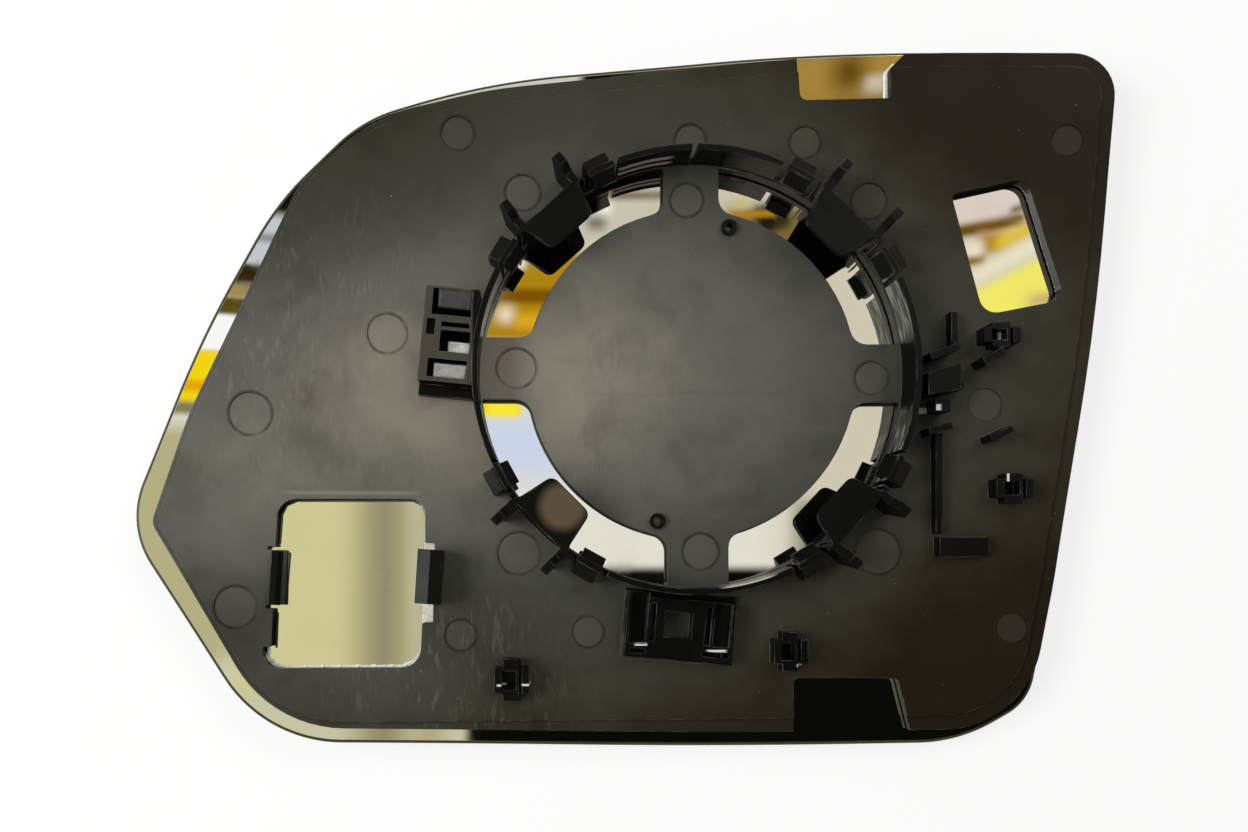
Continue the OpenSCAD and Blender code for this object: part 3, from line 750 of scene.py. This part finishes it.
def rubbed_plastic():
    """Plastic with a painted pale reflection: light grey with darker scratches along X and patches. The upper
    block gets hardly any of the painted reflection, and the lower one less than the middle one."""
    material, n = new_material("rubbed_plastic")
    where = n.place_in_mm()
    patches = n.noise(where, 0.45, 3.0, 0.6, 0.8)
    scratches = n.noise(n.stretched(where, (0.25, 3.0, 1.0)), 1.1, 2.0, 0.6)
    # pale colour of the painted reflection
    rubbed = finish().pale_reflection_colour[:]
    y = n.split_up(where)[1]
    # how much of the painted reflection each block gets
    reflection_share = n.plus(n.ramp(y, 7.5, 9.5, 1.0, 0.07), n.ramp(y, 1.6, 2.6, -0.45, 0.0))
    colour = n.mix(n.ramp(patches, 0.30, 0.66), tuple(0.62 * c for c in rubbed), rubbed)
    colour = n.mix(n.ramp(scratches, 0.56, 0.68, 0.0, 0.3), colour, tint("scratch"))
    colour = n.mix(reflection_share, tint("unlit block"), colour)
    height = n.plus(patches, scratches)
    normal = n.bump(0.5, 0.00004, height)
    rough = n.ramp(patches, 0.3, 0.7, 0.5, 0.28)
    n.surface({"Base Color": colour, "Normal": normal, "Roughness": rough, "Specular IOR Level": 0.15})
    return material


def silvered_glass():
    """Chromed reflecting coat, with faint haze from handling."""
    material, n = new_material("silvered_glass")
    where = n.place_in_mm()
    haze = n.noise(where, 0.08, 4.0, 0.6, 0.6)
    rough = n.ramp(haze, 0.45, 0.8, 0.012, 0.05)
    silver = finish().silver_colour[:]
    colour = n.mix(n.ramp(haze, 0.4, 0.8, 0.0, 0.5), silver, tuple(0.965 * c for c in silver))
    ripple = n.noise(where, 0.05, 1.0)
    normal = n.bump(0.2, 0.000004, ripple)
    n.surface({"Base Color": colour, "Metallic": 1.0, "Roughness": rough, "Normal": normal})
    return material


def ground_edge():
    """Ground glass edge: dark olive, matt, with grinding lines along it."""
    material, n = new_material("ground_edge")
    where = n.place_in_mm()
    grit = n.noise(where, 3.0, 3.0, 0.65)
    lines = n.noise(n.stretched(where, (0.4, 0.4, 12.0)), 1.5, 2.0)
    dark, light = (tuple(k * c for c in finish().edge_colour) for k in (0.75, 1.3))
    colour = n.mix(n.ramp(grit, 0.3, 0.8), dark, light)
    height = n.plus(grit, lines)
    normal = n.bump(0.4, 0.00001, height)
    rough = n.ramp(grit, 0.2, 0.8, 0.22, 0.4)
    n.surface({"Base Color": colour, "Roughness": rough, "Normal": normal, "IOR": 1.52,
               "Specular IOR Level": 0.12})
    return material


def bonding_film(name="bonding_film", grain=1.2):
    """Pale bonding film and adhesive: cream, slightly glossy, with small lumps."""
    material, n = new_material(name)
    lumps = n.noise(n.place_in_mm(), grain, 3.0, 0.6)
    film = finish().film_colour[:]
    colour = n.mix(n.ramp(lumps, 0.35, 0.7), tuple(0.8 * c for c in film), film)
    normal = n.bump(0.5, 0.00004, lumps)
    rough = n.ramp(lumps, 0.3, 0.7, 0.45, 0.65)
    n.surface({"Base Color": colour, "Roughness": rough, "Normal": normal})
    return material


def pale_floor():
    """White floor that keeps a soft shadow, and looks white to the camera and in reflections."""
    material, n = new_material("pale_floor")
    paper = n.noise(n.place_in_mm(), 0.02, 2.0)
    colour = n.mix(paper, (0.80, 0.80, 0.79), (0.82, 0.82, 0.82))
    matt = n.wire("BsdfDiffuse", {"Color": colour})
    glow = n.wire("Emission", {"Color": (1.0, 1.0, 1.0), "Strength": 1.0})
    rays = n.node("LightPath").outputs
    seen = n.calculate("ADD", rays["Is Camera Ray"], rays["Is Glossy Ray"], clamp=True)
    seen = n.calculate("ADD", seen, rays["Is Transmission Ray"], clamp=True)
    n.put_out(n.wire("MixShader", {0: n.times(seen, 0.72), 1: matt, 2: glow}))
    return material


def room_light():
    """White to the camera; reflections see a pale room with a few coloured things in it; all else is
    lit evenly. A thing in the room is a soft-edged box in slopes x/z and y/z of the ray."""
    s = studio()
    world = bpy.data.worlds.new("pale_room")
    bpy.context.scene.world = world
    world.use_nodes = True
    n = Nodes(world.node_tree)
    x, y, z = n.split_up(n.wire("TexCoord"))
    up = n.greatest(z, 0.02)
    slope = n.wire("CombineXYZ", {k: n.over(v, up) for k, v in enumerate((x, y))})
    blur = n.noise(slope, 14.0, 2.0, 0.5, 0.4)
    room = n.mix(n.ramp(blur, 0.35, 0.65), tint("dim room"), tint("bright room"))
    for _, middle, half, soft, colour, *turn in ROOM:
        turn = math.radians(turn[0] if turn else 0.0)
        off = n.vector("SUBTRACT", slope, (middle[0] / 1000, middle[1] / 1000, 0.0))
        masks = []
        axes = ((math.cos(turn), math.sin(turn), 0.0), (-math.sin(turn), math.cos(turn), 0.0))
        for size, axis in zip(half, axes):
            along = n.vector("DOT_PRODUCT", off, axis, 1)
            masks.append(n.ramp(n.magnitude(along), (size - soft) / 1000, (size + soft) / 1000, 1.0, 0.0))
        room = n.mix(n.times(*masks), room, tone(*colour))
    rays = n.node("LightPath").outputs
    even = n.wire("Background", {"Color": (1.0, 0.985, 0.96), "Strength": s.ambient})
    seen_room = n.wire("Background", {"Color": room, "Strength": s.room_strength})
    white = n.wire("Background", {"Color": (1.0, 1.0, 1.0), "Strength": 1.0})
    shiny = n.calculate("ADD", rays["Is Glossy Ray"], rays["Is Transmission Ray"], clamp=True)
    lit = n.wire("MixShader", {0: shiny, 1: even, 2: seen_room})
    shown = n.wire("MixShader", {0: rays["Is Camera Ray"], 1: lit, 2: white})
    n.put_out(shown, "OutputWorld")


class DOORMIRROR_OT_glass(bpy.types.Operator):
    """Make the domed silvered glass with its ground edge"""

    bl_idname = "door_mirror.glass"
    bl_label = "Make glass"

    def execute(self, context):
        """The outline is shrunk towards the middle for the faces, with closer rings near its edge, and
        follows two quarter rounds at the edge. Each ring of points lies on the sphere of its own depth."""
        s = sizes()
        count, rings, steps = 560, 26, 5
        outline = rounded_outline(GLASS_CORNERS, count) * MM
        normal = outward(outline)
        middle = np.array(GLASS_MIDDLE) * MM
        quarter = np.linspace(0, math.pi / 2, steps + 1)
        inset = s.edge_round * (1 - np.sin(quarter))
        sink = s.edge_round * (1 - np.cos(quarter))
        flat = outline - s.edge_round * normal
        share = np.linspace(0, 1, rings + 1)[1:-1]
        hold = (1.2, 0.5, 0.2, 0.06)
        rear = [(middle + t * (flat - middle), s.glass_rear) for t in share]
        rear += [(flat - k * MM * normal, s.glass_rear) for k in hold]
        rear += [(outline - i * normal, s.glass_rear + k) for i, k in zip(inset, sink)]
        front = [(outline - i * normal, s.glass_front - k) for i, k in zip(inset[::-1], sink[::-1])]
        front += [(flat - k * MM * normal, s.glass_front) for k in hold[::-1]]
        front += [(middle + t * (flat - middle), s.glass_front) for t in share[::-1]]
        rows = rear + front
        points = np.concatenate([np.column_stack([p, dome_height(p[:, 0], p[:, 1], d)]) for p, d in rows])
        faces = grid_faces(len(rows), count, False, True)
        edge_row = np.repeat(np.arange(len(rows) - 1), count)
        start = len(share) + len(hold)
        is_edge = (edge_row >= start) & (edge_row < start + 2 * steps + 1)
        poles = [[*middle, float(dome_height(*middle, depth))] for depth in (s.glass_rear, s.glass_front)]
        first, last, total = np.arange(count), (len(rows) - 1) * count + np.arange(count), len(points)
        caps = [[total, b, a] for a, b in zip(first.tolist(), np.roll(first, -1).tolist())]
        caps += [[total + 1, a, b] for a, b in zip(last.tolist(), np.roll(last, -1).tolist())]
        indices = np.concatenate([is_edge.astype(int), np.zeros(len(caps), int)])
        faces = faces[:, ::-1].tolist() + [c[::-1] for c in caps]
        piece = make_piece("silvered_glass", np.vstack([points, poles]), faces, [silvered_glass(), ground_edge()],
                           indices)
        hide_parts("mirror_glass")
        return {"FINISHED"}


def give_material(node, material):
    """One material for a whole node of the pack."""
    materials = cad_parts[node].data.materials
    materials.clear()
    materials.append(material)


class DOORMIRROR_OT_plate(bpy.types.Operator):
    """Give the carrier plate its moulded plastic"""

    bl_idname = "door_mirror.plate"
    bl_label = "Finish carrier plate"

    def execute(self, context):
        give_material("carrier_plate", moulded_plastic())
        return {"FINISHED"}


class DOORMIRROR_OT_film(bpy.types.Operator):
    """Give the bonding film its colour and lumps"""

    bl_idname = "door_mirror.film"
    bl_label = "Finish bonding film"

    def execute(self, context):
        give_material("adhesive_film", bonding_film())
        return {"FINISHED"}


class DOORMIRROR_OT_marks(bpy.types.Operator):
    """Add the burr that stands round each ejector mark"""

    bl_idname = "door_mirror.marks"
    bl_label = "Add mark rims"

    def execute(self, context):
        """A low round bead carried along the circle of each mark, on the dome."""
        s = sizes()
        parts = []
        turn = np.arange(72) * 2 * math.pi / 72
        for k, (x, y, radius) in enumerate(EJECTOR_MARKS):
            px, py = x * MM + radius * MM * np.cos(turn), y * MM + radius * MM * np.sin(turn)
            lift = s.rim_height - s.rim_width / 2
            path = np.stack([px, py, dome_height(px, py) + lift], 1)
            uneven = s.rim_width / 2 * (1 + 0.12 * np.sin(3 * turn + k))
            parts.append(tube_along(path, uneven, 8, True))
        moulded_piece("mark_rims", parts)
        return {"FINISHED"}


class DOORMIRROR_OT_lips(bpy.types.Operator):
    """Round the inner edges of the four clip flaps"""

    bl_idname = "door_mirror.lips"
    bl_label = "Add flap lips"

    def execute(self, context):
        """A round bead carried along the two sides and the inner end of each flap, at its upper edge."""
        s = sizes()
        parts = []
        for angle, reach in CLIPS:
            start, inner = RING_RADIUS - LIP_START, RING_RADIUS - reach
            side, end = FLAP_OUTER / 2 - LIP_INSET, FLAP_INNER / 2
            c = np.array([(start, side), (inner, end), (inner, -end), (start, -side)])
            flat = np.concatenate([c[:1], *(corner_curve(*c[i - 1:i + 2]) for i in (1, 2)), c[3:]])
            turn = math.radians(angle)
            spin = np.array([[math.cos(turn), math.sin(turn)], [-math.sin(turn), math.cos(turn)]])
            flat = flat @ spin * MM
            height = np.full(len(flat), RING_HEIGHT * MM - s.lip_radius + 0.00003)
            parts.append(tube_along(np.column_stack([flat, height]), s.lip_radius, 10, False))
        moulded_piece("flap_lips", parts)
        return {"FINISHED"}


def corner_curve(before, corner, after):
    """Rounded corner of a flap: a quadratic curve a (1-t)^2 + 2 p t (1-t) + b t^2 between the points a and b
    where an arc would touch the sides. p is the corner, drawn a little towards the middle of a and b."""
    u, w = unit(before - corner), unit(after - corner)
    cut = FLAP_CORNER / math.tan(math.acos(float(u @ w)) / 2)
    a, b = corner + u * cut, corner + w * cut
    pull = (1 - CORNER_EASE) * corner + CORNER_EASE * (a + b) / 2
    t = np.linspace(0, 1, 13)[:, None]
    return (1 - t) ** 2 * a + 2 * t * (1 - t) * pull + t ** 2 * b


def arc_points(middle, radius, start, end, count):
    """Points of a circle's arc from one angle to another, in radians."""
    angle = np.linspace(start, end, count)
    return np.stack([middle[0] + radius * np.cos(angle), middle[1] + radius * np.sin(angle)], 1)


def seat_line(window, gap):
    """Side of an arc opening along the upright spoke, the seat and the level spoke, gap inside the opening.
    The seat is an arc round the shifted middle; two fillets touch it and the spokes."""
    turn = np.sign(window)
    middle = turn * SEAT_SHIFT
    u, v = np.abs(window) + gap
    fillet, seat = SPOKE_FILLET - gap, SEAT_RADIUS + gap
    high = np.array([u + fillet, middle[1] + math.sqrt((seat + fillet) ** 2 - (u + fillet - middle[0]) ** 2)])
    low = np.array([middle[0] + math.sqrt((seat + fillet) ** 2 - (v + fillet - middle[1]) ** 2), v + fillet])
    to_high, to_low = (math.atan2(*(p - middle)[::-1]) for p in (high, low))
    path = np.concatenate([
        [[u, math.sqrt(LINE_REACH ** 2 - u * u)]],
        arc_points(high, fillet, math.pi, math.pi + to_high, 14),
        arc_points(middle, seat, to_high, to_low, 70)[1:-1],
        arc_points(low, fillet, math.pi + to_low, 1.5 * math.pi, 14),
        [[math.sqrt(LINE_REACH ** 2 - v * v), v]],
    ])
    return path * turn


class DOORMIRROR_OT_lines(bpy.types.Operator):
    """Add the black line of painted shade at the foot of the window walls"""

    bl_idname = "door_mirror.lines"
    bl_label = "Add window lines"

    def execute(self, context):
        """A low round bead carried along the seat side of each arc opening and along the left and top of
        the plug window. It lies on the glass and touches the wall of the plate. It is a dark bead that stands in
        for the shadow and dark reflection at the foot of the wall."""
        s = sizes()
        parts = []
        paths = [seat_line(np.array(w), s.line_radius / MM * 0.7) for w in ARC_WINDOWS]
        for path in paths + [np.array(p) for p in PLUG_LINES]:
            x, y = spread_along(path, 200)[0].T * MM
            z = dome_height(x, y, s.glass_rear) + s.line_radius * 0.7
            parts.append(tube_along(np.stack([x, y, z], 1), s.line_radius, 8, False))
        face_outwards(moulded_piece("window_lines", parts))
        return {"FINISHED"}


class DOORMIRROR_OT_blocks(bpy.types.Operator):
    """Add the pale faces of the blocks in the left spindle socket, coloured with a painted reflection"""

    bl_idname = "door_mirror.blocks"
    bl_label = "Add socket faces"

    def execute(self, context):
        """Each face is a pillow on a grid of u and v from -1 to 1: it lies on the sloping top of its block,
        and sinks by the eighth power of u and of v towards its edge. A skirt closes it below."""
        n, k = 25, 17
        u, v = np.meshgrid(np.linspace(-1, 1, n), np.linspace(-1, 1, k), indexing="ij")
        rim = np.concatenate([np.arange(k), np.arange(2, n + 1) * k - 1, (n - 1) * k + np.arange(k - 2, -1, -1),
                              np.arange(n - 2, 0, -1) * k])
        low, after = n * k + np.arange(len(rim)), np.roll(np.arange(len(rim)), -1)
        faces = grid_faces(n, k, False, False)[:, ::-1].tolist()
        faces += np.stack([rim, rim[after], low[after], low], 1).tolist() + [low.tolist()]
        turn = math.radians(SOCKET_TURN)
        parts = []
        for mid_x, mid_y, half_x, half_y, top, rise in SOCKET_BLOCKS:
            x, y = mid_x + half_x * u, mid_y + half_y * v
            z = top + rise * half_y * (1 + v) + FACE_LIFT - FACE_SINK * np.maximum(u ** 8, v ** 8)
            z += FACE_WAVE * np.sin(1.7 * x + top) * np.sin(2.3 * y)
            face = np.stack([x, y, z], 2).reshape(-1, 3)
            points = np.concatenate([face, face[rim] - (0.0, 0.0, FACE_SKIRT)])
            spun = np.stack([points[:, 0] * math.cos(turn) - points[:, 1] * math.sin(turn) + SOCKET_MIDDLE[0],
                             points[:, 0] * math.sin(turn) + points[:, 1] * math.cos(turn) + SOCKET_MIDDLE[1],
                             points[:, 2]], 1)
            parts.append((spun * MM, faces))
        points, faces = joined(parts)
        piece = make_piece("socket_faces", points, faces, [rubbed_plastic()])
        face_outwards(piece)
        return {"FINISHED"}


class DOORMIRROR_OT_bead(bpy.types.Operator):
    """Add the ragged adhesive at the sill of the plug window"""

    bl_idname = "door_mirror.bead"
    bl_label = "Add adhesive bead"

    def execute(self, context):
        """A bead along the sill, lying on the glass. Its radius is the mean radius times one plus a sum
        of sines of the distance, so it is ragged but the same on each run."""
        s = sizes()
        places, d = spread_along(np.array(WINDOW_SILL), 260)
        x, y = places.T * MM
        ragged = 1 + 0.35 * np.sin(1.9 * d) + 0.3 * np.sin(3.7 * d + 1.1) + 0.2 * np.sin(7.3 * d + 0.4)
        radius = s.bead_radius * np.clip(ragged, 0.15, 1.8)
        z = dome_height(x, y, s.glass_rear) + radius * 0.6
        points, faces = tube_along(np.stack([x, y, z], 1), radius, 10, False)
        make_piece("adhesive_bead", points, faces, [bonding_film("adhesive", 2.5)])
        return {"FINISHED"}


class DOORMIRROR_OT_stage(bpy.types.Operator):
    """Set the floor, lamps, room and camera"""

    bl_idname = "door_mirror.stage"
    bl_label = "Set stage"

    def execute(self, context):
        s = studio()
        low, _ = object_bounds()
        mesh = bpy.data.meshes.new("floor")
        corners = np.array([(-1, -1), (1, -1), (1, 1), (-1, 1)], float) * FLOOR_HALF
        mesh.from_pydata(np.column_stack([corners, np.full(4, low.z - FLOOR_GAP)]).tolist(), [], [[0, 1, 2, 3]])
        mesh.materials.append(pale_floor())
        floor = bpy.data.objects.new("floor", mesh)
        context.scene.collection.objects.link(floor)
        floor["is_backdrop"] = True
        for name, place, size, power in LAMPS:
            lamp = bpy.data.lights.new(name, "AREA")
            lamp.shape, lamp.size, lamp.energy = "DISK", size, getattr(s, power)
            thing = bpy.data.objects.new(name, lamp)
            thing.location, thing.rotation_euler = place, look_at(place)
            context.scene.collection.objects.link(thing)
        room_light()
        camera = bpy.data.cameras.new("camera")
        camera.sensor_width, camera.lens = SENSOR_WIDTH, SENSOR_WIDTH * FOCAL_PIXELS / PICTURE_WIDTH
        camera.shift_x, camera.shift_y = (pixels / PICTURE_WIDTH for pixels in SHIFT_PIXELS)
        camera.clip_start, camera.clip_end = 0.01, 20.0
        viewer = bpy.data.objects.new("camera", camera)
        viewer.location = (CAMERA_PLACE[0] * MM, CAMERA_PLACE[1] * MM, s.camera_height)
        context.scene.collection.objects.link(viewer)
        context.scene.camera = viewer
        context.scene.view_settings.view_transform = "Standard"
        return {"FINISHED"}


def look_at(place):
    """Turn that points a lamp at the origin from a place."""
    return (-Vector(place)).to_track_quat("-Z", "Y").to_euler()


class DOORMIRROR_PT_panel(bpy.types.Panel):
    """Door mirror tools"""

    bl_label = "Door mirror"
    bl_idname = "DOORMIRROR_PT_panel"
    bl_space_type = "VIEW_3D"
    bl_region_type = "UI"
    bl_category = "Door mirror"

    def draw(self, context):
        for operator in OPERATORS:
            self.layout.operator(operator.bl_idname)
        for group in (sizes(), finish(), studio()):
            for key in group.bl_rna.properties.keys():
                if key not in ("rna_type", "name"):
                    self.layout.prop(group, key)


GROUPS = (
    ("door_mirror_sizes", DoorMirrorSizes),
    ("door_mirror_finish", DoorMirrorFinish),
    ("door_mirror_studio", DoorMirrorStudio),
)
OPERATORS = (
    DOORMIRROR_OT_plate, DOORMIRROR_OT_film, DOORMIRROR_OT_glass, DOORMIRROR_OT_marks, DOORMIRROR_OT_lips,
    DOORMIRROR_OT_lines, DOORMIRROR_OT_blocks, DOORMIRROR_OT_bead, DOORMIRROR_OT_stage,
)


def register():
    for name, group in GROUPS:
        bpy.utils.register_class(group)
        setattr(bpy.types.Scene, name, PointerProperty(type=group))
    for cls in (*OPERATORS, DOORMIRROR_PT_panel):
        bpy.utils.register_class(cls)


def unregister():
    for cls in (DOORMIRROR_PT_panel, *reversed(OPERATORS)):
        bpy.utils.unregister_class(cls)
    for name, group in reversed(GROUPS):
        delattr(bpy.types.Scene, name)
        bpy.utils.unregister_class(group)


def main():
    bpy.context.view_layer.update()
    register()
    for operator in OPERATORS:
        group, name = operator.bl_idname.split(".")
        getattr(getattr(bpy.ops, group), name)()


if __name__ == "__main__":
    main()
